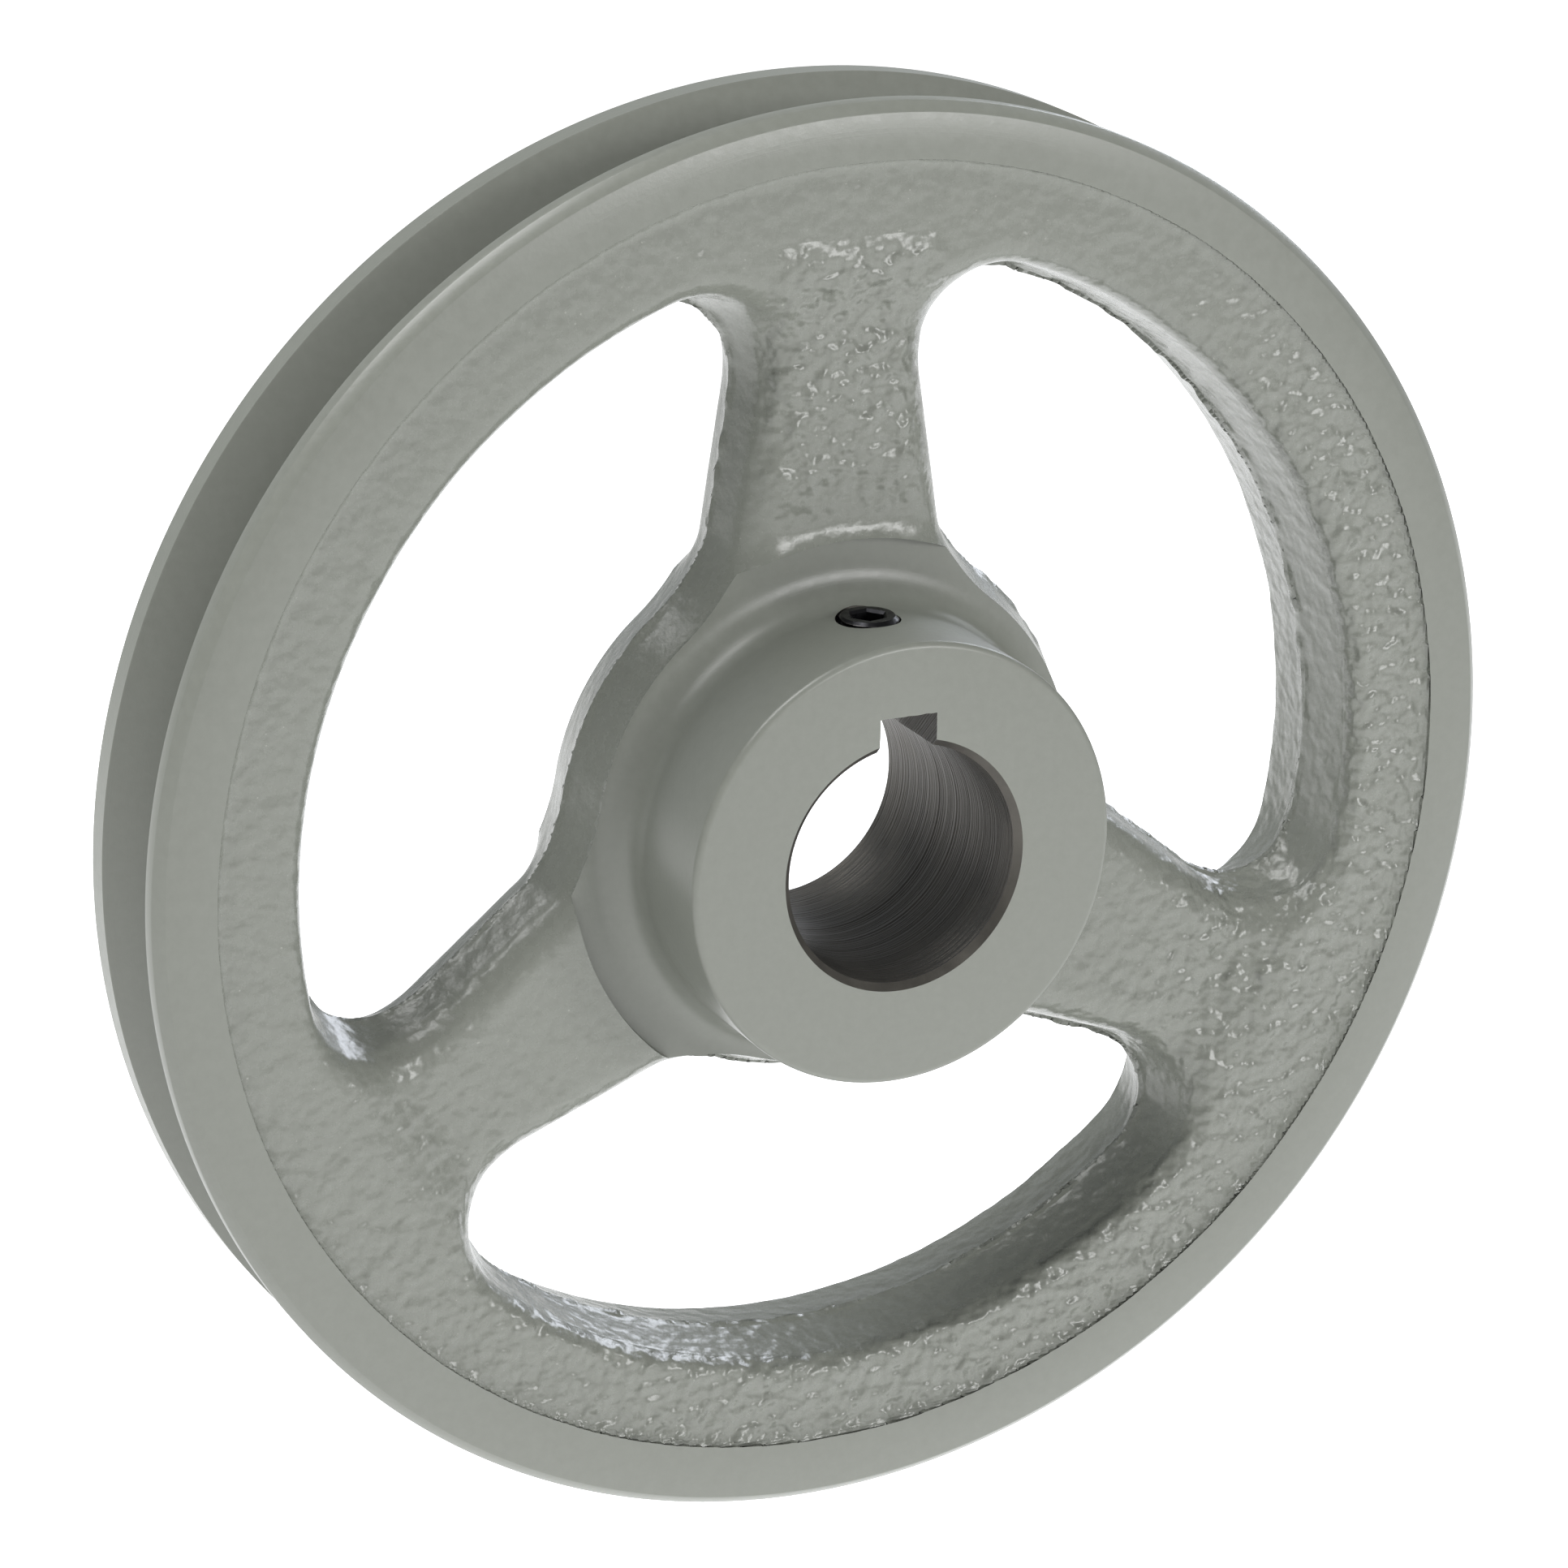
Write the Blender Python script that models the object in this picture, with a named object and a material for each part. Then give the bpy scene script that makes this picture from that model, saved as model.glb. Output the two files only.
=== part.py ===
"""Single-groove V-belt pulley: one iron casting with three arms, and its set screw.

Metres, +Z up. The shaft runs along Y through the origin, which lies in the middle
plane of the rim. The long, turned end of the hub points along -Y. One arm, the
keyway and the set screw point along +Z.
"""
import math

import bmesh
import bpy
from mathutils import Matrix, Vector

MM = 0.001
INCH = 25.4 * MM

# Rim, with its flat machined bands and the belt groove
RIM_RADIUS = 2.975 * INCH
RIM_WIDTH = 0.75 * INCH
RIM_BEVEL = 1.0 * MM
GROOVE_MOUTH = (-6.685 * MM, 5.675 * MM)
GROOVE_ANGLE = math.radians(38)
GROOVE_BOTTOM_RADIUS = 63.8 * MM
FACE_BAND_RADIUS = 69.4 * MM
CAST_STEP = 0.7 * MM
INNER_WALL_RADIUS = 59.2 * MM
INNER_WALL_DRAFT = 0.8 * MM
INNER_EDGE = 1.5 * MM

# Hub
BORE_RADIUS = 0.5 * INCH
BORE_CHAMFER = 0.72 * MM
HUB_RADIUS = 23.5 * MM
HUB_FRONT = -20.895 * MM
HUB_BACK = 7.675 * MM
HUB_CHAMFER = 0.72 * MM
COVE_RADIUS = 4.0 * MM
SHOULDER_Y = -5.525 * MM
SHOULDER_RADIUS = 30.2 * MM
BOSS_RADIUS = 29.0 * MM
BOSS_FRONT_RADIUS = 27.5 * MM
BOSS_BACK_RADIUS = 27.2 * MM
KEYWAY_WIDTH = 0.25 * INCH
KEYWAY_TOP = 15.95 * MM

# Arms
ARM_COUNT = 3
ARM_FRONT = -6.525 * MM
ARM_BACK = 6.475 * MM
ARM_ROOT_RADIUS = 19.0 * MM
ARM_HALF_WIDTH = 16.7 * MM
ARM_TAPER = 0.156
ARM_EDGE_ROUND = 3.4 * MM
RIM_FILLET = 13.0 * MM
HUB_FILLET = 4.0 * MM
OVERLAP = 0.7 * MM

# Set screw, 1/4-20 by 5/16 long with a 1/8 hexagon socket
SCREW_CENTRE_Y = -11.525 * MM
SCREW_RADIUS = 3.05 * MM
SCREW_HOLE_RADIUS = 3.35 * MM
SCREW_LENGTH = 0.3125 * INCH
SCREW_TOP_RADIUS = 23.8 * MM
SCREW_CHAMFER = 0.35 * MM
SCREW_POINT_RADIUS = 1.6 * MM
SOCKET_WIDTH = 0.125 * INCH
SOCKET_DEPTH = 3.4 * MM

RIM_SEGMENTS = 96
HUB_SEGMENTS = 64
SCREW_SEGMENTS = 32
ARC_STEPS = 6
MERGE = 0.00001


def make_material(name, color, roughness, metallic):
    """Return a Principled material."""
    material = bpy.data.materials.new(name)
    material.use_nodes = True
    shader = material.node_tree.nodes["Principled BSDF"]
    shader.inputs["Base Color"].default_value = (*color, 1.0)
    shader.inputs["Roughness"].default_value = roughness
    shader.inputs["Metallic"].default_value = metallic
    material.diffuse_color = (*color, 1.0)
    return material


def add_object(name, bm, material=None):
    """Turn a bmesh into a smooth-shaded object with its normals outward."""
    bmesh.ops.recalc_face_normals(bm, faces=bm.faces)
    mesh = bpy.data.meshes.new(name)
    bm.to_mesh(mesh)
    bm.free()
    mesh.shade_smooth()
    mesh.set_sharp_from_angle(angle=math.radians(30))
    thing = bpy.data.objects.new(name, mesh)
    bpy.context.scene.collection.objects.link(thing)
    if material:
        mesh.materials.append(material)
    return thing


def add_turned(name, outline, axis, segments, material=None):
    """Spin an outline of (radius, height) points, given in the axis's plane with X."""
    bm = bmesh.new()
    points = [Vector((radius, 0, 0)) + height * axis for radius, height in outline]
    verts = [bm.verts.new(point) for point in points]
    on_axis = outline[0][0] == 0
    pairs = list(zip(verts, verts[1:]))
    if not on_axis:
        pairs.append((verts[-1], verts[0]))
    edges = [bm.edges.new(pair) for pair in pairs]
    bmesh.ops.spin(bm, geom=verts + edges, axis=axis, cent=(0, 0, 0),
                   angle=math.tau, steps=segments, use_merge=True)
    bmesh.ops.remove_doubles(bm, verts=bm.verts, dist=MERGE)
    return add_object(name, bm, material)


def add_cutter(name, bm, location=(0, 0, 0), rotation=(0, 0, 0)):
    """Make a helper that a Boolean reads and the finished part leaves out."""
    helper = add_object(name, bm)
    helper.location = location
    helper.rotation_euler = rotation
    return hide_helper(helper)


def hide_helper(helper):
    """Show a helper as wires and keep it out of renders."""
    helper.hide_render = True
    helper.display_type = "WIRE"
    return helper


def add_boolean(target, operation, helper):
    """Join a helper to a target, or cut the target with it."""
    modifier = target.modifiers.new(helper.name, "BOOLEAN")
    modifier.operation = operation
    modifier.object = helper


def arc(centre, radius, start, end, steps):
    """Return points on an arc, both ends included."""
    angles = [start + (end - start) * i / steps for i in range(steps + 1)]
    return [(centre[0] + radius * math.cos(a), centre[1] + radius * math.sin(a)) for a in angles]


def rim_outline():
    """Section of the rim: machined outside, groove, cast inside."""
    front = -RIM_WIDTH / 2
    back = RIM_WIDTH / 2
    depth = RIM_RADIUS - GROOVE_BOTTOM_RADIUS
    lean = depth * math.tan(GROOVE_ANGLE / 2)
    wall = INNER_WALL_RADIUS + INNER_WALL_DRAFT
    return [
        (FACE_BAND_RADIUS, front),
        (RIM_RADIUS - RIM_BEVEL, front),
        (RIM_RADIUS, front + RIM_BEVEL),
        (RIM_RADIUS, GROOVE_MOUTH[0]),
        (GROOVE_BOTTOM_RADIUS, GROOVE_MOUTH[0] + lean),
        (GROOVE_BOTTOM_RADIUS, GROOVE_MOUTH[1] - lean),
        (RIM_RADIUS, GROOVE_MOUTH[1]),
        (RIM_RADIUS, back - RIM_BEVEL),
        (RIM_RADIUS - RIM_BEVEL, back),
        (FACE_BAND_RADIUS, back),
        (FACE_BAND_RADIUS, back - CAST_STEP),
        (wall + INNER_EDGE, back - CAST_STEP),
        (wall, back - CAST_STEP - INNER_EDGE),
        (INNER_WALL_RADIUS, 0),
        (wall, front + CAST_STEP + INNER_EDGE),
        (wall + INNER_EDGE, front + CAST_STEP),
        (FACE_BAND_RADIUS, front + CAST_STEP),
    ]


def hub_outline():
    """Section of the bored hub before its nose is turned: a boss that tapers both ways."""
    return [
        (BORE_RADIUS, HUB_BACK),
        (BORE_RADIUS, HUB_FRONT + BORE_CHAMFER),
        (BORE_RADIUS + BORE_CHAMFER, HUB_FRONT),
        (BOSS_FRONT_RADIUS, HUB_FRONT),
        (BOSS_FRONT_RADIUS, SHOULDER_Y + CAST_STEP),
        (BOSS_RADIUS, 0),
        (BOSS_BACK_RADIUS, HUB_BACK - HUB_CHAMFER),
        (BOSS_BACK_RADIUS - HUB_CHAMFER, HUB_BACK),
    ]


def nose_outline():
    """Section of what the lathe takes off round the nose, down to the cove and shoulder."""
    past = 5 * MM
    cove_centre = (HUB_RADIUS + COVE_RADIUS, SHOULDER_Y - COVE_RADIUS)
    return [
        (HUB_RADIUS - HUB_CHAMFER - past, HUB_FRONT - past),
        (HUB_RADIUS, HUB_FRONT + HUB_CHAMFER),
        *arc(cove_centre, COVE_RADIUS, math.pi, math.pi / 2, ARC_STEPS),
        (SHOULDER_RADIUS, SHOULDER_Y),
        (SHOULDER_RADIUS, HUB_FRONT - past),
    ]


def fillet(circle_radius, fillet_radius, inside):
    """Blend an arm's side into a circle round the shaft.

    Works in (along, across) coordinates of the arm. Returns the blend's centre, the
    angle at which it leaves the arm's side and the angle at which it meets the circle.
    """
    reach = circle_radius - fillet_radius if inside else circle_radius + fillet_radius
    slope = math.hypot(1, ARM_TAPER)
    level = ARM_HALF_WIDTH + fillet_radius * slope
    # across = level - taper * along, and along^2 + across^2 = reach^2
    half = ARM_TAPER * level / slope ** 2
    along = half + math.sqrt(half ** 2 - (level ** 2 - reach ** 2) / slope ** 2)
    across = level - ARM_TAPER * along
    side_angle = math.atan2(-1, -ARM_TAPER)
    circle_angle = math.atan2(across, along)
    if not inside:
        circle_angle += math.pi
    return (along, across), side_angle, circle_angle


def arm_side():
    """One side of an arm, as (along, across) points from inside the hub to the rim."""
    points = [(ARM_ROOT_RADIUS, ARM_ROOT_RADIUS * math.tan(math.radians(38)))]
    centre, side, circle = fillet(BOSS_BACK_RADIUS - OVERLAP, HUB_FILLET, inside=False)
    points += arc(centre, HUB_FILLET, circle - math.tau, side, ARC_STEPS)
    centre, side, circle = fillet(INNER_WALL_RADIUS + OVERLAP, RIM_FILLET, inside=True)
    points += arc(centre, RIM_FILLET, side, circle, ARC_STEPS)
    return points


def arm_bmesh():
    """An arm along +Z with its long edges rounded."""
    side = arm_side()
    along, across = side[-1]
    end_radius = math.hypot(along, across) + OVERLAP
    half_angle = math.atan2(across, along)
    cap = arc((0, 0), end_radius, half_angle, -half_angle, 2 * ARC_STEPS)
    outline = side + cap + [(x, -y) for x, y in reversed(side)]
    bm = bmesh.new()
    verts = [bm.verts.new((across, ARM_FRONT, along)) for along, across in outline]
    face = bm.faces.new(verts)
    extruded = bmesh.ops.extrude_face_region(bm, geom=[face])["geom"]
    moved = [item for item in extruded if isinstance(item, bmesh.types.BMVert)]
    bmesh.ops.translate(bm, verts=moved, vec=(0, ARM_BACK - ARM_FRONT, 0))
    long_edges = [edge for edge in bm.edges if is_long_edge(edge, side[1], side[-1])]
    bmesh.ops.bevel(bm, geom=long_edges, offset=ARM_EDGE_ROUND, offset_type="OFFSET",
                    segments=3, profile=0.5, affect="EDGES", clamp_overlap=True)
    return bm


def is_long_edge(edge, first, last):
    """Tell whether an edge runs along the arm's side, on its front or its back face."""
    start, end = edge.verts
    if abs(start.co.y - end.co.y) > MERGE:
        return False
    reaches = [math.hypot(vert.co.x, vert.co.z) for vert in (start, end)]
    low = math.hypot(*first) - MERGE
    high = math.hypot(*last) + MERGE
    return low < min(reaches) and max(reaches) < high


def box_bmesh(low, high):
    """A closed box between two corners."""
    bm = bmesh.new()
    size = Vector(high) - Vector(low)
    centre = (Vector(high) + Vector(low)) / 2
    bmesh.ops.create_cube(bm, size=1, matrix=Matrix.Translation(centre) @ Matrix.Diagonal((*size, 1)))
    return bm


def prism_bmesh(radius, segments, low, high):
    """A closed prism along Z between two heights."""
    bm = bmesh.new()
    bmesh.ops.create_cone(bm, cap_ends=True, segments=segments, radius1=radius, radius2=radius,
                          depth=high - low, matrix=Matrix.Translation((0, 0, (low + high) / 2)))
    return bm


def add_casting(material):
    """The pulley itself: rim, arms and hub cast in one piece."""
    casting = add_turned("pulley_casting", rim_outline(), Vector((0, 1, 0)), RIM_SEGMENTS, material)
    for index in range(ARM_COUNT):
        turn = math.tau * index / ARM_COUNT
        add_boolean(casting, "UNION", add_cutter(f"arm_{index + 1}", arm_bmesh(), rotation=(0, turn, 0)))
    hub = add_turned("hub", hub_outline(), Vector((0, 1, 0)), HUB_SEGMENTS)
    add_boolean(casting, "UNION", hide_helper(hub))
    nose = add_turned("nose_cutter", nose_outline(), Vector((0, 1, 0)), HUB_SEGMENTS)
    add_boolean(casting, "DIFFERENCE", hide_helper(nose))

    past = 5 * MM
    keyway = box_bmesh((-KEYWAY_WIDTH / 2, HUB_FRONT - past, BORE_RADIUS / 2),
                       (KEYWAY_WIDTH / 2, HUB_BACK + past, KEYWAY_TOP))
    add_boolean(casting, "DIFFERENCE", add_cutter("keyway_cutter", keyway))
    hole = prism_bmesh(SCREW_HOLE_RADIUS, SCREW_SEGMENTS, BORE_RADIUS, BOSS_RADIUS + past)
    add_boolean(casting, "DIFFERENCE", add_cutter("screw_hole", hole, (0, SCREW_CENTRE_Y, 0)))
    return casting


def add_set_screw(material):
    """A headless screw whose origin is the centre of its socket end, on its axis."""
    outline = [
        (0, 0),
        (SCREW_RADIUS - SCREW_CHAMFER, 0),
        (SCREW_RADIUS, -SCREW_CHAMFER),
        (SCREW_RADIUS, -SCREW_LENGTH + SCREW_RADIUS - SCREW_POINT_RADIUS),
        (SCREW_POINT_RADIUS, -SCREW_LENGTH),
        (0, -SCREW_LENGTH),
    ]
    screw = add_turned("set_screw", outline, Vector((0, 0, 1)), SCREW_SEGMENTS, material)
    screw.location = (0, SCREW_CENTRE_Y, SCREW_TOP_RADIUS)
    corner_radius = SOCKET_WIDTH / 2 / math.cos(math.pi / 6)
    socket = add_cutter("hexagon_socket", prism_bmesh(corner_radius, 6, -SOCKET_DEPTH, MM))
    socket.parent = screw
    add_boolean(screw, "DIFFERENCE", socket)
    return screw


def main():
    for thing in list(bpy.data.objects):
        bpy.data.objects.remove(thing, do_unlink=True)
    add_casting(make_material("grey_paint", (0.24, 0.245, 0.225), 0.38, 0.0))
    add_set_screw(make_material("black_oxide_steel", (0.03, 0.03, 0.032), 0.35, 0.9))


main()
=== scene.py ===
"""Visual model of a cast-iron V-belt pulley, made the way the real one is made.

A rough sand casting is grown from a distance field, then its machined surfaces are
cut by a turned envelope, a bore, a keyway and a set-screw hole. Metres, +Z up;
the shaft runs along Y and the long end of the hub points along -Y.
"""
import itertools
import math

import bmesh
import bpy
import numpy as np
from mathutils import Euler, Matrix, Vector


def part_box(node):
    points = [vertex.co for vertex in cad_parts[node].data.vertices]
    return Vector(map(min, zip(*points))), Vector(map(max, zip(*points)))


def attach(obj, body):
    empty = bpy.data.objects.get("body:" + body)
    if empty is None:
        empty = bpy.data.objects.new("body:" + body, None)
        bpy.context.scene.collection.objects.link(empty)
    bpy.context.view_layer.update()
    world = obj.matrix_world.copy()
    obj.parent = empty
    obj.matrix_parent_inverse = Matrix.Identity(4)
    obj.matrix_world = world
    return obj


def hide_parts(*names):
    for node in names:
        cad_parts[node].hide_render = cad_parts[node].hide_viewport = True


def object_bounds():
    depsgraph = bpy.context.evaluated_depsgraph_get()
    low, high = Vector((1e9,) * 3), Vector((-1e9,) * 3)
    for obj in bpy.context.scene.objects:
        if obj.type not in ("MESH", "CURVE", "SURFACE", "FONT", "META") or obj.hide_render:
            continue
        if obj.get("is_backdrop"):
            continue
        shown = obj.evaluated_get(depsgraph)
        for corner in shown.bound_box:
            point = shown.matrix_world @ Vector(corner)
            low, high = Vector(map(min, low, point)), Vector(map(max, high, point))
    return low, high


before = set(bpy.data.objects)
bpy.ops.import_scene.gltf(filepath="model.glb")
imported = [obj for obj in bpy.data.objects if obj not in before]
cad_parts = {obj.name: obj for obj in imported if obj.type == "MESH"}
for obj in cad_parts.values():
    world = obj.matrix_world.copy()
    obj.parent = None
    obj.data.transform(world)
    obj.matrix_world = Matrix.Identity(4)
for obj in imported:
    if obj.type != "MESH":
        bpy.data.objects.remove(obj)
cad_low, cad_high = (list(corner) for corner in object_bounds())

MM = 0.001

# Machined rim
RIM_RADIUS = cad_high[0]
RIM_FRONT = -cad_high[1]
RIM_BACK = cad_high[1]
RIM_BEVEL = 1.0 * MM
GROOVE_MOUTH = (-6.685 * MM, 5.675 * MM)
GROOVE_DEPTH = 11.765 * MM
GROOVE_ANGLE = math.radians(38)
EDGE_BREAK = 0.12 * MM

# Machined hub
HUB_FRONT = cad_low[1]
HUB_BACK = 7.675 * MM
HUB_RADIUS = 23.5 * MM
HUB_CHAMFER = 0.72 * MM
BORE_RADIUS = 12.7 * MM
BORE_CHAMFER = 0.72 * MM
COVE_RADIUS = 4.0 * MM
SHOULDER_Y = RIM_FRONT + 4.0 * MM
SHOULDER_END = 30.2 * MM
KEYWAY_WIDTH = 6.35 * MM
KEYWAY_TOP = 15.95 * MM
KEYWAY_TEAR = 0.07 * MM
KEYWAY_TEAR_SIZE = 0.9 * MM
KEYWAY_SCORE = 0.05 * MM
KEYWAY_SCORE_SIZE = 0.4 * MM
SCREW_HOLE_RADIUS = 3.35 * MM

# As-cast shape, before machining
CAST_OFFSET = (0.15 * MM, 0.47 * MM)
MOULD_SHIFT = (0.13 * MM, -0.55 * MM)
ALLOWANCE = 1.6 * MM
STEP_RADIUS = 69.35 * MM
STEP_BLEND = 1.1 * MM
WEB_FRONT = RIM_FRONT + 0.75 * MM
WEB_BACK = RIM_BACK - 0.75 * MM
WALL_RADIUS = 59.0 * MM
WALL_DRAFT = 0.12
WALL_EDGE = 2.1 * MM
ARM_COUNT = 3
ARM_FRONT = -6.5 * MM
ARM_BACK = 6.5 * MM
ARM_HALF_WIDTH = 17.4 * MM
ARM_TAPER = 0.156
ARM_TURN = math.radians(0.38)
ARM_DRAFT = 0.25
ARM_EDGE = 3.2 * MM
ARM_RISE = (51.0 * MM, 59.5 * MM)
RIM_FILLET = 13.3 * MM
BOSS_RADIUS = 29.0 * MM
BOSS_DRAFT = 0.33
BOSS_NOSE_RADIUS = 25.5 * MM
HUB_FILLET = 4.6 * MM
SWELL_RADIUS = 27.9 * MM
CELL = 0.45 * MM

# Sand texture
SAND_HEIGHT = 0.15 * MM
SAND_SIZES = (1.7 * MM, 1.1 * MM)
WALL_SAND = 0.25
WAVE_HEIGHT = 0.20 * MM
WAVE_SIZE = 7.0 * MM
FLASH_HEIGHT = 0.38 * MM
FLASH_WIDTH = 0.55 * MM
WAVE_FLOOR = 0.12
SMOOTHEST_SAND = 0.2
HUB_SAND = 0.3
SAND_SLOPE = (-70 * MM, 60 * MM)
HUB_SAND_FADE = (34 * MM, 50 * MM)
TOP_ARM_SAND = (30 * MM, 38 * MM)
TOP_ARM_SAND_END = 64 * MM
TOP_ARM_SAND_SIDE = 12 * MM
TOP_ARM_SAND_BLEND = 6 * MM
PATCH_SIZE = 18 * MM
PATCH_DEPTH = 0.3
SEAM_WANDER = 0.5 * MM
SEAM_SIZE = 5 * MM
FLASH_TEETH_SIZE = 1.6 * MM
FLASH_TEETH = 0.6

HASH_PRIMES = (73856093, 19349663, 83492791)
SEED_PRIME = 668265263
MIXING_PRIME = 1274126177

TURNED_SEGMENTS = 512

CAMERA_LOCATION = (-0.23388, -0.46429, 0.18805)
CAMERA_ROTATION = tuple(math.radians(angle) for angle in (70.2925, -0.9009, -26.0767))
CAMERA_LENS = 122.2


# ---------------------------------------------------------------- noise and fields

def hashed(cells, seed):
    """A repeatable value from -1 to 1 for each whole-number lattice point."""
    mixed = cells[:, 0] * HASH_PRIMES[0] ^ cells[:, 1] * HASH_PRIMES[1]
    mixed = mixed ^ cells[:, 2] * HASH_PRIMES[2] ^ seed * SEED_PRIME
    mixed = (mixed ^ (mixed >> 13)) * MIXING_PRIME
    return ((mixed ^ (mixed >> 16)) & 0xFFFF) / 32767.5 - 1


def noise(points, size, seed):
    """Smooth noise from -1 to 1 with features of the given size."""
    scaled = points / size
    cell = np.floor(scaled).astype(np.int64)
    part = scaled - cell
    part = part ** 3 * (part * (part * 6 - 15) + 10)
    total = np.zeros(len(points))
    for corner in itertools.product((0, 1), repeat=3):
        weight = np.prod(np.where(corner, part, 1 - part), axis=1)
        total += weight * hashed(cell + np.array(corner), seed)
    return total


def ramp(value, low, high):
    """Smooth step from 0 at low to 1 at high."""
    part = np.clip((value - low) / (high - low), 0, 1)
    return part * part * (3 - 2 * part)


def round_union(first, second, radius):
    """Join two distance fields with a fillet."""
    overlap = np.hypot(np.maximum(radius - first, 0), np.maximum(radius - second, 0))
    return np.maximum(radius, np.minimum(first, second)) - overlap


def rounded_corner(first, second, radius):
    """Keep what both distance fields hold, with a rounded edge between them."""
    inside = np.minimum(np.maximum(first, second) + radius, 0)
    return inside + np.hypot(np.maximum(first + radius, 0), np.maximum(second + radius, 0)) - radius


def arms_plan(x, z):
    """Distance to the nearest arm's side, seen along the shaft."""
    nearest = None
    for index in range(ARM_COUNT):
        turn = math.pi / 2 + ARM_TURN + math.tau * index / ARM_COUNT
        along = x * math.cos(turn) + z * math.sin(turn)
        across = np.abs(z * math.cos(turn) - x * math.sin(turn))
        side = (across - ARM_HALF_WIDTH + ARM_TAPER * along) / math.hypot(1, ARM_TAPER)
        side = np.maximum(side, -along)
        nearest = side if nearest is None else np.minimum(nearest, side)
    return nearest


def cast_distance(x, y, z):
    """Signed distance to the rough casting: negative in the iron."""
    rear = y > 0
    x = x - CAST_OFFSET[0] - np.where(rear, MOULD_SHIFT[0], 0)
    z = z - CAST_OFFSET[1] - np.where(rear, MOULD_SHIFT[1], 0)
    radius = np.hypot(x, z)
    away = np.abs(y)

    plan = round_union(WALL_RADIUS + WALL_DRAFT * away - radius,
                       arms_plan(x, z) + ARM_DRAFT * away, RIM_FILLET)
    boss_wall = radius - np.maximum(BOSS_RADIUS - BOSS_DRAFT * away, BOSS_NOSE_RADIUS)
    plan = round_union(plan, boss_wall, HUB_FILLET)
    rise = ramp(radius, *ARM_RISE)
    reach = np.clip(SWELL_RADIUS + HUB_FILLET - radius, 0, HUB_FILLET)
    swell = HUB_FILLET - np.sqrt(HUB_FILLET ** 2 - reach ** 2)
    front = ARM_FRONT + (WEB_FRONT - ARM_FRONT) * rise - swell
    back = ARM_BACK + (WEB_BACK - ARM_BACK) * rise + swell
    edge = ARM_EDGE + (WALL_EDGE - ARM_EDGE) * rise
    web = rounded_corner(plan, np.maximum(front - y, y - back), edge)

    band = np.maximum(RIM_FRONT - ALLOWANCE - y, y - RIM_BACK - ALLOWANCE)
    band = np.maximum(band, STEP_RADIUS - radius)
    web = round_union(web, band, STEP_BLEND)
    web = np.maximum(web, radius - RIM_RADIUS - ALLOWANCE)

    boss = np.maximum(HUB_FRONT - ALLOWANCE - y, y - HUB_BACK - ALLOWANCE)
    return np.minimum(web, np.maximum(boss, boss_wall))


# ---------------------------------------------------------------- field to mesh

def surface_net(field, low, cell):
    """Mesh the zero surface of a sampled field: one point per crossed cell."""
    inside = field < 0
    cells = np.array(field.shape) - 1
    total = int(np.prod(cells))
    sums = np.zeros((3, total))
    counts = np.zeros(total)
    quads = []
    for axis in range(3):
        start = [slice(None)] * 3
        stop = [slice(None)] * 3
        start[axis] = slice(None, -1)
        stop[axis] = slice(1, None)
        crossed = inside[tuple(start)] != inside[tuple(stop)]
        index = np.argwhere(crossed)
        first = field[tuple(start)][crossed]
        second = field[tuple(stop)][crossed]
        place = index.astype(float)
        place[:, axis] += first / (first - second)
        side, other = (axis + 1) % 3, (axis + 2) % 3
        around = []
        for offsets in ((-1, -1), (0, -1), (0, 0), (-1, 0)):
            cell_index = index.copy()
            cell_index[:, side] += offsets[0]
            cell_index[:, other] += offsets[1]
            flat = np.ravel_multi_index(cell_index.T, cells)
            around.append(flat)
            for part in range(3):
                sums[part] += np.bincount(flat, weights=place[:, part], minlength=total)
            counts += np.bincount(flat, minlength=total)
        quad = np.stack(around, axis=1)
        outward = inside[tuple(start)][crossed]
        quads.append(np.where(outward[:, None], quad, quad[:, ::-1]))
    used = np.flatnonzero(counts)
    points = (sums[:, used] / counts[used]).T * cell + np.array(low)
    number = np.zeros(total, dtype=np.int64)
    number[used] = np.arange(len(used))
    return points, number[np.concatenate(quads)]


def gradient(points, step):
    """Unit direction in which the casting's distance grows fastest."""
    slopes = []
    for axis in range(3):
        shift = np.zeros(3)
        shift[axis] = step
        slopes.append(cast_distance(*(points + shift).T) - cast_distance(*(points - shift).T))
    slopes = np.stack(slopes, axis=1)
    return slopes / np.maximum(np.linalg.norm(slopes, axis=1, keepdims=True), 1e-12)


def sand_strength(points):
    """How coarse the sand was, from 0 to 1: worst on the top arm and low on the right."""
    x, _, z = points.T
    slope = ramp(x - z, *SAND_SLOPE)
    top_arm = ramp(z, *TOP_ARM_SAND)
    top_arm = top_arm * ramp(TOP_ARM_SAND_END - z, 0, TOP_ARM_SAND_BLEND)
    top_arm = top_arm * ramp(TOP_ARM_SAND_SIDE - np.abs(x), 0, TOP_ARM_SAND_BLEND)
    hub = ramp(np.hypot(x, z), *HUB_SAND_FADE)
    patch = 1 - PATCH_DEPTH + PATCH_DEPTH * noise(points, PATCH_SIZE, 5)
    general = SMOOTHEST_SAND + (1 - SMOOTHEST_SAND) * slope
    general = general * (HUB_SAND + (1 - HUB_SAND) * hub)
    return np.clip(np.maximum(general, top_arm) * patch, 0, 1)


def facing(normal_y):
    """Sand shows least on the walls that run along the shaft."""
    return WALL_SAND + (1 - WALL_SAND) * ramp(np.abs(normal_y), 0.2, 0.9)


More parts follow.
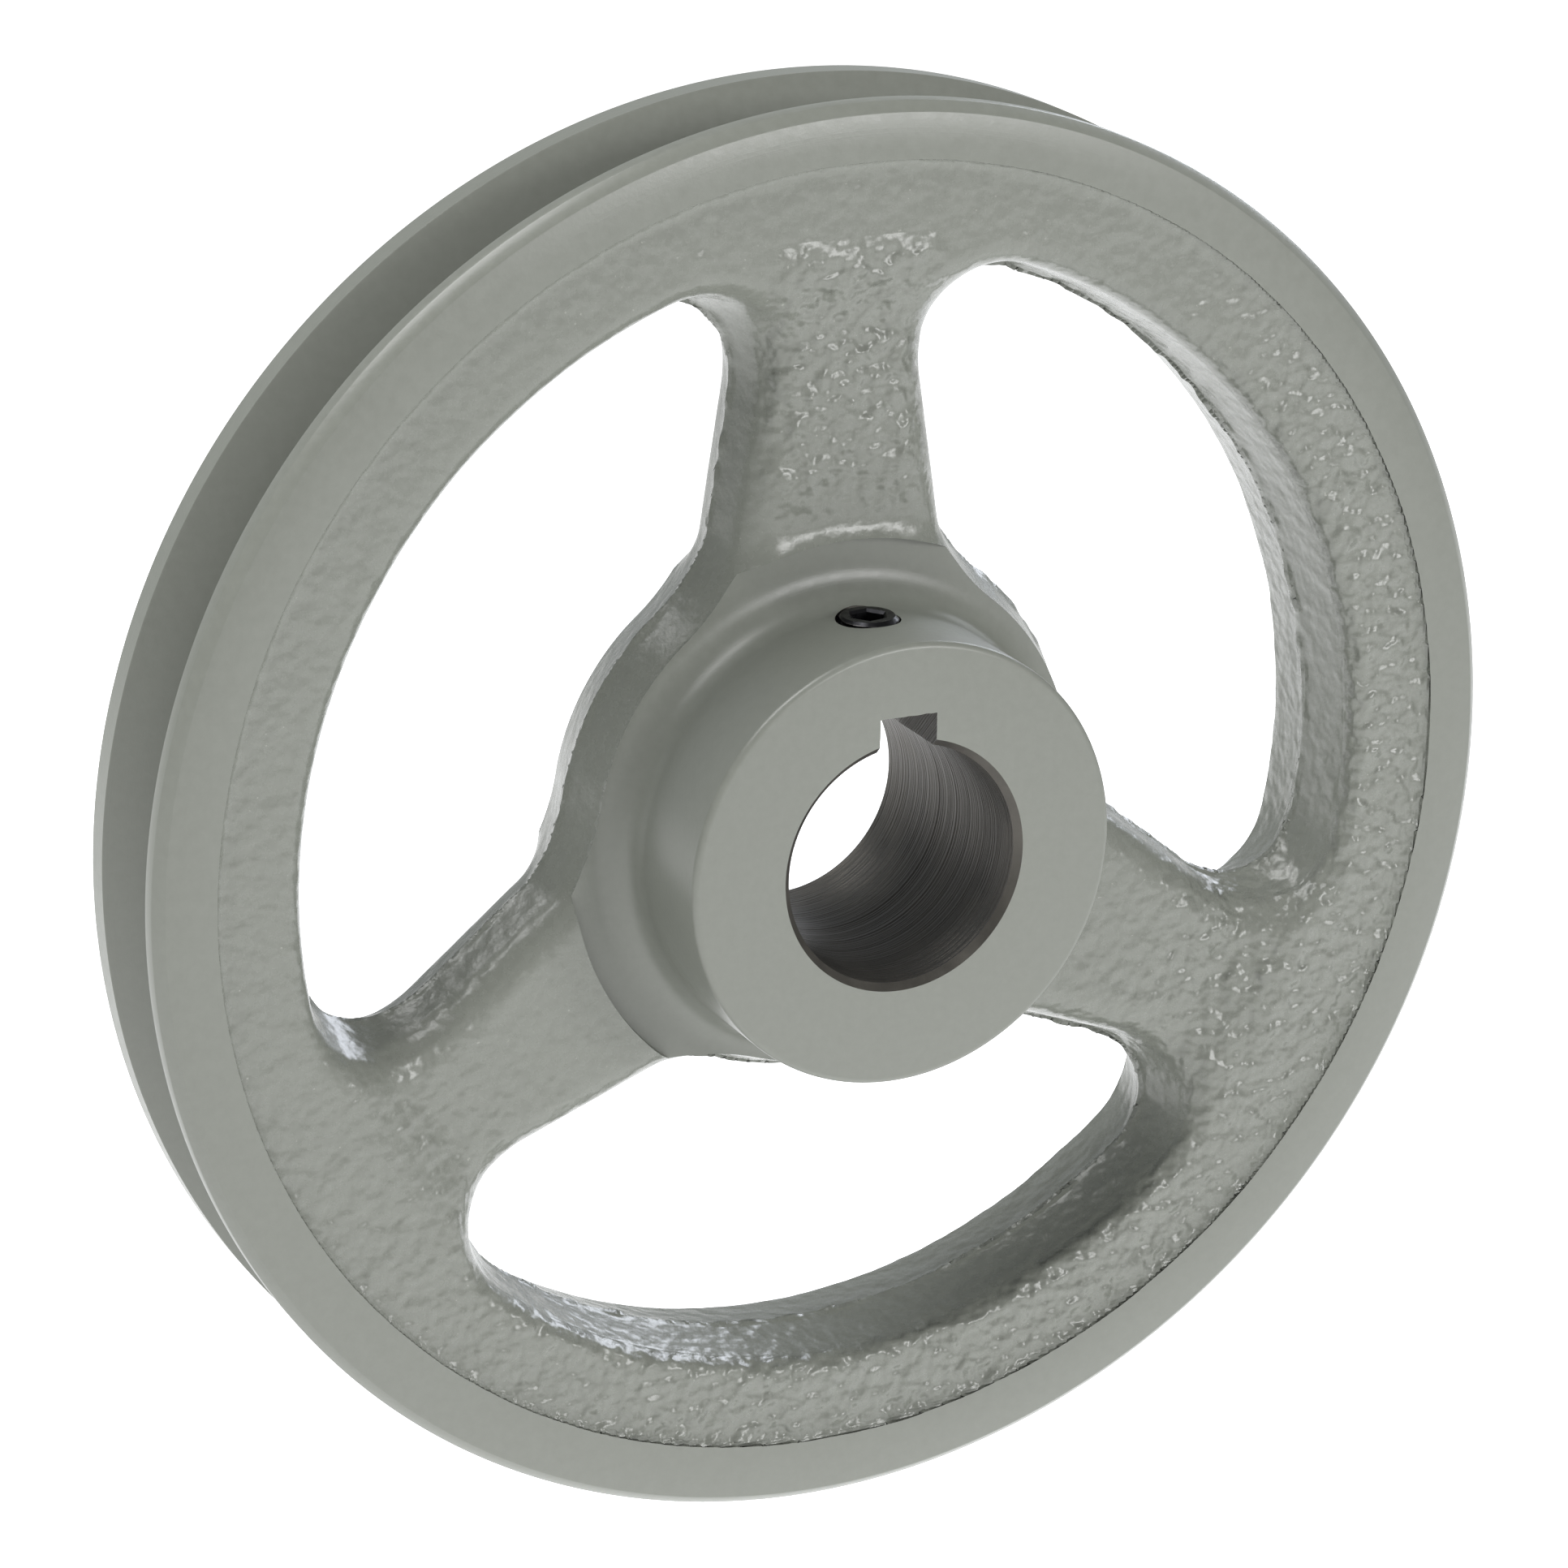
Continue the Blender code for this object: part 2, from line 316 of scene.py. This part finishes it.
def roughened(points):
    """Settle points on the casting's surface and give it its sand texture and flash."""
    normals = gradient(points, 0.25 * CELL)
    points = points - normals * np.clip(cast_distance(*points.T), -CELL, CELL)[:, None]
    strength = sand_strength(points) * facing(normals[:, 1])
    height = WAVE_HEIGHT * (WAVE_FLOOR + strength) * noise(points, WAVE_SIZE, 1)
    for number, size in enumerate(SAND_SIZES):
        height += SAND_HEIGHT / (1 + number) * strength * noise(points, size, 10 + number)
    seam = SEAM_WANDER * noise(points * (1, 0, 1), SEAM_SIZE, 3)
    ragged = FLASH_TEETH + FLASH_TEETH * noise(points, FLASH_TEETH_SIZE, 4)
    wall = ramp(1 - np.abs(normals[:, 1]), 0.3, 0.9)
    height += FLASH_HEIGHT * wall * ragged * np.exp(-((points[:, 1] - seam) / FLASH_WIDTH) ** 2)
    return points + normals * height[:, None]


def rough_casting(materials):
    """The casting as it comes out of the sand."""
    low = np.array((-RIM_RADIUS - 3 * CELL - ALLOWANCE, HUB_FRONT - ALLOWANCE - 2 * CELL,
                    -RIM_RADIUS - 3 * CELL - ALLOWANCE))
    high = np.array((-low[0], RIM_BACK + ALLOWANCE + 2 * CELL, -low[2]))
    counts = np.ceil((high - low) / CELL).astype(int) + 1
    axes = [low[k] + CELL * np.arange(counts[k]) for k in range(3)]
    field = np.empty(counts)
    for number, x in enumerate(axes[0]):
        y, z = np.meshgrid(axes[1], axes[2], indexing="ij")
        field[number] = cast_distance(x, y, z)
    points, quads = surface_net(field, low, CELL)
    mesh = bpy.data.meshes.new("cast_iron_pulley")
    mesh.from_pydata(roughened(points).tolist(), [], quads.tolist())
    return add_object("cast_iron_pulley", mesh, materials)


# ---------------------------------------------------------------- machining

def add_object(name, mesh, materials=(), slot=0):
    """Link a mesh as an object whose faces all use one of the materials."""
    for material in materials:
        mesh.materials.append(material)
    mesh.polygons.foreach_set("material_index", np.full(len(mesh.polygons), slot, dtype=np.int32))
    mesh.shade_smooth()
    thing = bpy.data.objects.new(name, mesh)
    bpy.context.scene.collection.objects.link(thing)
    return thing


def turned(name, outline, materials, slot, segments=TURNED_SEGMENTS):
    """Spin an outline of (radius, y), which starts and ends on the shaft axis."""
    bm = bmesh.new()
    verts = [bm.verts.new((radius, y, 0)) for radius, y in outline]
    edges = [bm.edges.new(pair) for pair in zip(verts, verts[1:])]
    bmesh.ops.spin(bm, geom=verts + edges, axis=(0, 1, 0), cent=(0, 0, 0),
                   angle=math.tau, steps=segments, use_merge=True)
    bmesh.ops.remove_doubles(bm, verts=bm.verts, dist=1e-6)
    bmesh.ops.recalc_face_normals(bm, faces=bm.faces)
    mesh = bpy.data.meshes.new(name)
    bm.to_mesh(mesh)
    bm.free()
    return add_object(name, mesh, materials, slot)


def arc(centre, radius, start, end, steps):
    """Points on an arc, both ends included."""
    angles = np.linspace(start, end, steps + 1)
    return [(centre[0] + radius * math.cos(a), centre[1] + radius * math.sin(a)) for a in angles]


def envelope_outline():
    """Everything that the lathe leaves, as a section from axis to rim and back."""
    lean = GROOVE_DEPTH * math.tan(GROOVE_ANGLE / 2)
    bottom = RIM_RADIUS - GROOVE_DEPTH
    cove = arc((HUB_RADIUS + COVE_RADIUS, SHOULDER_Y - COVE_RADIUS), COVE_RADIUS,
               math.pi, math.pi / 2, 16)
    nib = EDGE_BREAK
    return [
        (0, HUB_FRONT),
        *arc((HUB_RADIUS - HUB_CHAMFER, HUB_FRONT + HUB_CHAMFER), HUB_CHAMFER,
             -math.pi / 2, 0, 6),
        *cove,
        (SHOULDER_END, SHOULDER_Y),
        (SHOULDER_END + 0.5 * MM, RIM_FRONT),
        (RIM_RADIUS - RIM_BEVEL - nib, RIM_FRONT),
        (RIM_RADIUS - RIM_BEVEL, RIM_FRONT + nib / 2),
        (RIM_RADIUS - nib / 2, RIM_FRONT + RIM_BEVEL),
        (RIM_RADIUS, RIM_FRONT + RIM_BEVEL + nib),
        (RIM_RADIUS, GROOVE_MOUTH[0] - nib),
        (RIM_RADIUS - nib, GROOVE_MOUTH[0]),
        (bottom, GROOVE_MOUTH[0] + lean),
        (bottom, GROOVE_MOUTH[1] - lean),
        (RIM_RADIUS - nib, GROOVE_MOUTH[1]),
        (RIM_RADIUS, GROOVE_MOUTH[1] + nib),
        (RIM_RADIUS, RIM_BACK - RIM_BEVEL),
        (RIM_RADIUS - RIM_BEVEL, RIM_BACK),
        (SHOULDER_END + 2 * MM, RIM_BACK),
        (SHOULDER_END, HUB_BACK),
        (0, HUB_BACK),
    ]


def bore_outline():
    """The bore with its mouth chamfer, running past both faces of the hub."""
    past = 3 * MM
    return [
        (0, HUB_FRONT - past),
        (BORE_RADIUS + BORE_CHAMFER + past, HUB_FRONT - past),
        (BORE_RADIUS, HUB_FRONT + BORE_CHAMFER),
        (BORE_RADIUS, HUB_BACK - 0.1 * MM),
        (BORE_RADIUS + past, HUB_BACK - 0.1 * MM + past),
        (0, HUB_BACK - 0.1 * MM + past),
    ]


def broached_keyway(materials, slot):
    """A long bar with torn flanks and a ragged roof, as a broach leaves the keyway."""
    low = Vector((-KEYWAY_WIDTH / 2, HUB_FRONT - 2 * MM, BORE_RADIUS / 2))
    high = Vector((KEYWAY_WIDTH / 2, HUB_BACK + 2 * MM, KEYWAY_TOP))
    bm = bmesh.new()
    place = Matrix.Translation((low + high) / 2) @ Matrix.Diagonal((*(high - low), 1))
    bmesh.ops.create_cube(bm, size=1, matrix=place)
    bmesh.ops.subdivide_edges(bm, edges=bm.edges, cuts=23, use_grid_fill=True)
    points = np.array([vert.co for vert in bm.verts])
    tear = KEYWAY_TEAR * noise(points * (1, 0.25, 1), KEYWAY_TEAR_SIZE, 21)
    tear += KEYWAY_SCORE * noise(points * (1, 0.1, 1), KEYWAY_SCORE_SIZE, 22)
    for vert, amount in zip(bm.verts, tear):
        roof = vert.co.z > high.z - 1e-6
        flank = abs(abs(vert.co.x) - high.x) < 1e-6
        vert.co.z += amount if roof else 0
        vert.co.x += 0.4 * amount if flank else 0
    mesh = bpy.data.meshes.new("keyway")
    bm.to_mesh(mesh)
    bm.free()
    return add_object("keyway", mesh, materials, slot)


def drilled_hole(name, screw_axis, centre_y, materials, slot):
    """A set-screw hole from the bore out through the hub."""
    outline = [
        (0, BORE_RADIUS - 2 * MM),
        (SCREW_HOLE_RADIUS, BORE_RADIUS - 2 * MM),
        (SCREW_HOLE_RADIUS, HUB_RADIUS + 6 * MM),
        (0, HUB_RADIUS + 6 * MM),
    ]
    hole = turned(name, outline, materials, slot, segments=64)
    turn = Vector((0, 1, 0)).rotation_difference(screw_axis).to_matrix().to_4x4()
    hole.data.transform(Matrix.Translation((0, centre_y, 0)) @ turn)
    return hole


def machine(target, tool, operation):
    """Cut the target with a tool, keeping the tool's material on the cut faces."""
    modifier = target.modifiers.new(tool.name, "BOOLEAN")
    modifier.operation = operation
    modifier.object = tool
    modifier.solver = "MANIFOLD"
    depsgraph = bpy.context.evaluated_depsgraph_get()
    result = bpy.data.meshes.new_from_object(target.evaluated_get(depsgraph), depsgraph=depsgraph)
    target.modifiers.clear()
    target.data = result
    bpy.data.objects.remove(tool, do_unlink=True)


# ---------------------------------------------------------------- materials

def new_material(name, roughness, metallic):
    """A Principled material with its tree, shader and object coordinates."""
    material = bpy.data.materials.new(name)
    material.use_nodes = True
    tree = material.node_tree
    shader = tree.nodes["Principled BSDF"]
    shader.inputs["Roughness"].default_value = roughness
    shader.inputs["Metallic"].default_value = metallic
    place = tree.nodes.new("ShaderNodeTexCoord").outputs["Object"]
    return material, tree, shader, place


def noise_value(tree, place, size, detail=3.0, roughness=0.5):
    """Noise from 0 to 1 with features of a size in metres."""
    node = tree.nodes.new("ShaderNodeTexNoise")
    node.inputs["Scale"].default_value = 1 / size
    node.inputs["Detail"].default_value = detail
    node.inputs["Roughness"].default_value = roughness
    tree.links.new(place, node.inputs["Vector"])
    return node.outputs["Fac"]


def math_node(tree, operation, *values, clamp=False):
    """A Math node whose inputs are sockets or numbers."""
    node = tree.nodes.new("ShaderNodeMath")
    node.operation = operation
    node.use_clamp = clamp
    for socket, value in zip(node.inputs, values):
        if isinstance(value, bpy.types.NodeSocket):
            tree.links.new(value, socket)
        else:
            socket.default_value = value
    return node.outputs[0]


def remap(tree, value, low, high, to_low, to_high):
    """Map one range to another, held at both ends."""
    node = tree.nodes.new("ShaderNodeMapRange")
    for socket, number in zip(list(node.inputs)[1:5], (low, high, to_low, to_high)):
        socket.default_value = number
    tree.links.new(value, node.inputs["Value"])
    return node.outputs["Result"]


def color_ramp(tree, value, stops):
    """Colours along a value."""
    node = tree.nodes.new("ShaderNodeValToRGB")
    elements = node.color_ramp.elements
    while len(elements) < len(stops):
        elements.new(0.5)
    for element, (place, color) in zip(elements, stops):
        element.position = place
        element.color = (*color, 1)
    tree.links.new(value, node.inputs["Fac"])
    return node.outputs["Color"]


def add_bump(tree, shader, layers):
    """Stack bumps of (height socket, depth in metres, strength)."""
    normal = None
    for height, depth, strength in layers:
        node = tree.nodes.new("ShaderNodeBump")
        node.inputs["Strength"].default_value = strength
        node.inputs["Distance"].default_value = depth
        tree.links.new(height, node.inputs["Height"])
        if normal:
            tree.links.new(normal, node.inputs["Normal"])
        normal = node.outputs["Normal"]
    tree.links.new(normal, shader.inputs["Normal"])


def lathe_marks(tree, place, pitch):
    """Fine lines that follow the turning: rings on faces, hoops on cylinders."""
    split = tree.nodes.new("ShaderNodeSeparateXYZ")
    tree.links.new(place, split.inputs["Vector"])
    across = math_node(tree, "MULTIPLY", split.outputs["X"], split.outputs["X"])
    upward = math_node(tree, "MULTIPLY", split.outputs["Z"], split.outputs["Z"])
    radius = math_node(tree, "SQRT", math_node(tree, "ADD", across, upward))
    travel = math_node(tree, "ADD", radius, split.outputs["Y"])
    node = tree.nodes.new("ShaderNodeTexNoise")
    node.noise_dimensions = "1D"
    node.inputs["Scale"].default_value = 1.0
    node.inputs["Detail"].default_value = 2.0
    tree.links.new(math_node(tree, "DIVIDE", travel, pitch), node.inputs["W"])
    return node.outputs["Fac"]


PAINT_DARK = (0.164, 0.172, 0.151)
PAINT_LIGHT = (0.175, 0.184, 0.162)
PAINT_SPECK = (0.50, 0.50, 0.46)
CAST_GLOSS = (0.24, 0.30)
MACHINED_GLOSS = (0.30, 0.38)
MOTTLE_SIZE = 1.1 * MM
SPECK_SIZE = 0.45 * MM
LUMP_SIZE = 2.8 * MM
LUMP_DEPTH = 0.6 * MM
GRAIN_SIZE = 1.7 * MM
GRAIN_DEPTH = 1.3 * MM
FACE_MARK_PITCH = 0.16 * MM
BORE_MARK_PITCH = 0.32 * MM
BORE_MARK_DEPTH = 0.26 * MM


def paint(name, rough):
    """Satin grey machinery paint over rough or over machined iron."""
    material, tree, shader, place = new_material(name, 0.36, 0.0)
    mottle = noise_value(tree, place, MOTTLE_SIZE, 3.0, 0.6)
    color = color_ramp(tree, mottle, [(0.30, PAINT_DARK), (0.70, PAINT_LIGHT)])
    if rough:
        dots = noise_value(tree, place, SPECK_SIZE, 1.0, 0.4)
        speck = remap(tree, dots, 0.78, 0.82, 0.0, 0.35)
        mix = tree.nodes.new("ShaderNodeMix")
        mix.data_type = "RGBA"
        tree.links.new(speck, mix.inputs["Factor"])
        tree.links.new(color, mix.inputs["A"])
        mix.inputs["B"].default_value = (*PAINT_SPECK, 1)
        color = mix.outputs["Result"]
    tree.links.new(color, shader.inputs["Base Color"])
    gloss = CAST_GLOSS if rough else MACHINED_GLOSS
    tree.links.new(remap(tree, mottle, 0.3, 0.7, *gloss), shader.inputs["Roughness"])
    fine = noise_value(tree, place, 0.45 * MM, 2.0, 0.5)
    if rough:
        sand = tree.nodes.new("ShaderNodeAttribute")
        sand.attribute_name = "sand"
        coarse = math_node(tree, "ADD", sand.outputs["Fac"], 0.05)
        lumps = noise_value(tree, place, LUMP_SIZE, 1.0, 0.3)
        lumps = math_node(tree, "MULTIPLY", lumps, coarse)
        grain = noise_value(tree, place, GRAIN_SIZE, 1.0, 0.4)
        grain = math_node(tree, "MULTIPLY", grain, coarse)
        add_bump(tree, shader, [(lumps, LUMP_DEPTH, 1.0), (grain, GRAIN_DEPTH, 1.0),
                                (fine, 0.04 * MM, 0.6)])
    else:
        marks = lathe_marks(tree, place, FACE_MARK_PITCH)
        add_bump(tree, shader, [(fine, 0.03 * MM, 0.4), (marks, 0.012 * MM, 0.35)])
    return material


def bare_iron():
    """Freshly cut iron in the bore and keyway, oiled and slightly stained."""
    material, tree, shader, place = new_material("bare_iron", 0.45, 0.7)
    stain = noise_value(tree, place, 5 * MM, 4.0, 0.6)
    color = color_ramp(tree, stain, [(0.35, (0.066, 0.062, 0.055)), (0.65, (0.100, 0.094, 0.083))])
    tree.links.new(color, shader.inputs["Base Color"])
    tree.links.new(remap(tree, stain, 0.3, 0.7, 0.38, 0.52), shader.inputs["Roughness"])
    marks = lathe_marks(tree, place, BORE_MARK_PITCH)
    fine = noise_value(tree, place, 0.3 * MM, 2.0, 0.5)
    add_bump(tree, shader, [(marks, BORE_MARK_DEPTH, 1.0), (fine, 0.03 * MM, 0.4)])
    return material


def black_oxide():
    """Black-oxide alloy steel, worn a little brighter on its edges."""
    material, tree, shader, place = new_material("black_oxide_steel", 0.32, 0.9)
    wear = tree.nodes.new("ShaderNodeNewGeometry").outputs["Pointiness"]
    grime = noise_value(tree, place, 0.8 * MM, 3.0, 0.6)
    worn = math_node(tree, "MULTIPLY", remap(tree, wear, 0.52, 0.60, 0.0, 1.0), grime)
    color = color_ramp(tree, worn, [(0.1, (0.018, 0.018, 0.020)), (0.7, (0.16, 0.155, 0.15))])
    tree.links.new(color, shader.inputs["Base Color"])
    tree.links.new(remap(tree, grime, 0.3, 0.7, 0.24, 0.45), shader.inputs["Roughness"])
    add_bump(tree, shader, [(grime, 0.02 * MM, 0.4)])
    return material


def mark_sand(mesh):
    """Store the sand's coarseness on the mesh, where the paint material reads it."""
    points = np.empty(len(mesh.vertices) * 3)
    normals = np.empty(len(mesh.vertices) * 3)
    mesh.vertices.foreach_get("co", points)
    mesh.vertex_normals.foreach_get("vector", normals)
    sand = mesh.attributes.new("sand", "FLOAT", "POINT")
    strength = sand_strength(points.reshape(-1, 3)) * facing(normals.reshape(-1, 3)[:, 1])
    sand.data.foreach_set("value", strength)


# ---------------------------------------------------------------- set screw

THREAD_PITCH = 1.27 * MM
THREAD_DEPTH = 0.42 * MM
SCREW_MAJOR = 3.17 * MM
SOCKET_WIDTH = 3.175 * MM
SOCKET_DEPTH = 3.4 * MM
SOCKET_TURN = math.radians(8)
SCREW_CHAMFER = 0.45 * MM
SCREW_POINT_LENGTH = 1.25 * MM


def screw_mesh(length):
    """A headless screw along -Z from its socket end at the origin, with a real helix."""
    around, pitch_steps = 72, 12
    rows = int(length / THREAD_PITCH * pitch_steps)
    heights = -np.linspace(0, length, rows + 1)
    bm = bmesh.new()
    rings = []
    for height in heights:
        depth_in = min(-height, length + height)
        crest = SCREW_MAJOR - max(0.0, SCREW_CHAMFER - depth_in)
        crest -= max(0.0, SCREW_POINT_LENGTH - (length + height))
        ring = []
        for step in range(around):
            angle = math.tau * step / around
            phase = (height / THREAD_PITCH + step / around) % 1
            groove = min(1.0, max(0.0, 2.6 * (0.5 - abs(phase - 0.5)) - 0.15))
            radius = min(crest, SCREW_MAJOR - THREAD_DEPTH * (1 - groove))
            ring.append(bm.verts.new((radius * math.cos(angle), radius * math.sin(angle), height)))
        rings.append(ring)
    for upper, lower in zip(rings, rings[1:]):
        for step in range(around):
            after = (step + 1) % around
            bm.faces.new((upper[step], lower[step], lower[after], upper[after]))
    bm.faces.new(rings[0])
    bm.faces.new(rings[-1][::-1])
    bmesh.ops.recalc_face_normals(bm, faces=bm.faces)
    mesh = bpy.data.meshes.new("screw")
    bm.to_mesh(mesh)
    bm.free()
    return mesh


def socket_cutter(materials):
    """The hexagon broached into the screw, with its drilled cone and lead-in chamfer."""
    bm = bmesh.new()
    corner = SOCKET_WIDTH / 2 / math.cos(math.pi / 6)
    sections = [(corner + 0.7 * MM, 0.4 * MM), (corner, -0.30 * MM), (corner, -SOCKET_DEPTH)]
    rings = []
    for radius, height in sections:
        turns = [math.tau * k / 6 for k in range(6)]
        rings.append([bm.verts.new((radius * math.cos(turn), radius * math.sin(turn), height))
                      for turn in turns])
    for upper, lower in zip(rings, rings[1:]):
        for k in range(6):
            bm.faces.new((upper[k], lower[k], lower[(k + 1) % 6], upper[(k + 1) % 6]))
    tip = bm.verts.new((0, 0, -SOCKET_DEPTH - 0.9 * MM))
    for k in range(6):
        bm.faces.new((rings[-1][k], tip, rings[-1][(k + 1) % 6]))
    bm.faces.new(rings[0])
    bmesh.ops.recalc_face_normals(bm, faces=bm.faces)
    mesh = bpy.data.meshes.new("socket")
    bm.to_mesh(mesh)
    bm.free()
    return add_object("socket", mesh, materials)


def screw_frame():
    """The CAD set screw's top centre, outward direction and length."""
    low, high = (Vector(corner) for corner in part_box("set_screw"))
    centre = (low + high) / 2
    outward = Vector((centre.x, 0, centre.z)).normalized()
    length = max(high - low)
    return centre + outward * length / 2, outward, length


def build_set_screw():
    """Replace the CAD set screw with a threaded one in the same place."""
    materials = [black_oxide()]
    top, outward, length = screw_frame()
    screw = add_object("socket_set_screw", screw_mesh(length), materials)
    machine(screw, socket_cutter(materials), "DIFFERENCE")
    screw.data.set_sharp_from_angle(angle=math.radians(35))
    turn = Vector((0, 0, 1)).rotation_difference(outward).to_matrix().to_4x4()
    screw.data.transform(turn @ Matrix.Rotation(SOCKET_TURN, 4, "Z"))
    screw.location = top
    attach(screw, "screw")
    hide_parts("set_screw")


# ---------------------------------------------------------------- assembly

def build_casting():
    """Cast the pulley, machine it and let it stand for the CAD casting."""
    materials = [paint("cast_paint", True), paint("machined_paint", False), bare_iron()]
    machined, bare = 1, 2
    pulley = rough_casting(materials)
    machine(pulley, turned("envelope", envelope_outline(), materials, machined), "INTERSECT")
    machine(pulley, turned("bore", bore_outline(), materials, bare, 256), "DIFFERENCE")
    machine(pulley, broached_keyway(materials, bare), "DIFFERENCE")
    top, outward, _ = screw_frame()
    machine(pulley, drilled_hole("screw_hole", outward, top.y, materials, bare), "DIFFERENCE")
    pulley.data.shade_smooth()
    pulley.data.set_sharp_from_angle(angle=math.radians(32))
    mark_sand(pulley.data)
    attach(pulley, "pulley")
    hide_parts("pulley_casting")
    return pulley


def area_light(name, location, target, size, power, color=(1, 1, 1)):
    """A soft box aimed at a point."""
    data = bpy.data.lights.new(name, "AREA")
    data.shape = "RECTANGLE"
    data.size, data.size_y = size
    data.energy = power
    data.color = color
    light = bpy.data.objects.new(name, data)
    light.location = location
    light.rotation_euler = (Vector(target) - Vector(location)).to_track_quat("-Z", "Y").to_euler()
    bpy.context.scene.collection.objects.link(light)
    return light


FLOOR_DROP = 0.30
FLOOR_SIZE = 8.0
FLOOR_GLOW = 0.80
BACKDROP_LIGHT = 0.52
CEILING_LIGHT = 0.26
CEILING_ANGLES = (22, 36)
BACKDROP_TINT = (0.93, 0.97, 1.00)
SIDE_PLACE = (-0.6, 0.10, 1.25)
SIDE_SIZE = (1.0, 0.8)
SIDE_POWER = 22.0
RIM_PLACE = (1.1, 0.75, 0.55)
RIM_SIZE = (0.6, 0.6)
RIM_POWER = 8.0
RIM_TINT = (0.86, 0.90, 1.0)
KEY_PLACE = (0.67, -1.38, 0.45)
KEY_SIZE = (0.75, 0.42)
KEY_POWER = 12.0


def studio_world():
    """A bright backdrop all round that gives way to a dim ceiling."""
    world = bpy.data.worlds.new("studio")
    world.use_nodes = True
    tree = world.node_tree
    split = tree.nodes.new("ShaderNodeSeparateXYZ")
    direction = tree.nodes.new("ShaderNodeTexCoord").outputs["Generated"]
    tree.links.new(direction, split.inputs["Vector"])
    background = tree.nodes["Background"]
    tint = color_ramp(tree, remap(tree, split.outputs["Y"], -0.2, 0.6, 0.0, 1.0),
                      [(0.0, (1.0, 1.0, 0.98)), (1.0, BACKDROP_TINT)])
    tree.links.new(tint, background.inputs["Color"])
    ceiling = [math.sin(math.radians(angle)) for angle in CEILING_ANGLES]
    tree.links.new(remap(tree, split.outputs["Z"], *ceiling, BACKDROP_LIGHT, CEILING_LIGHT),
                   background.inputs["Strength"])
    return world


def studio():
    """Pale floor, soft light and the camera."""
    scene = bpy.context.scene
    scene.world = studio_world()

    bm = bmesh.new()
    bmesh.ops.create_grid(bm, x_segments=1, y_segments=1, size=FLOOR_SIZE / 2)
    mesh = bpy.data.meshes.new("floor")
    bm.to_mesh(mesh)
    bm.free()
    white, _, shader, _ = new_material("white_floor", 0.9, 0.0)
    shader.inputs["Base Color"].default_value = (0.93, 0.93, 0.93, 1)
    shader.inputs["Emission Color"].default_value = (1, 1, 1, 1)
    shader.inputs["Emission Strength"].default_value = FLOOR_GLOW
    mesh.materials.append(white)
    floor = bpy.data.objects.new("floor", mesh)
    floor.location = (0, 0, -RIM_RADIUS - FLOOR_DROP)
    scene.collection.objects.link(floor)
    floor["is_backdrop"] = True

    area_light("key", KEY_PLACE, (0, 0, 0), KEY_SIZE, KEY_POWER)
    area_light("side", SIDE_PLACE, (0, 0, 0), SIDE_SIZE, SIDE_POWER)
    area_light("rim", RIM_PLACE, (0, 0, 0), RIM_SIZE, RIM_POWER, RIM_TINT)

    camera = bpy.data.objects.new("camera", bpy.data.cameras.new("camera"))
    camera.data.lens = CAMERA_LENS
    camera.data.clip_start = 0.01
    camera.location = CAMERA_LOCATION
    camera.rotation_euler = Euler(CAMERA_ROTATION)
    scene.collection.objects.link(camera)
    scene.camera = camera
    scene.view_settings.view_transform = "Standard"


build_casting()
build_set_screw()
studio()
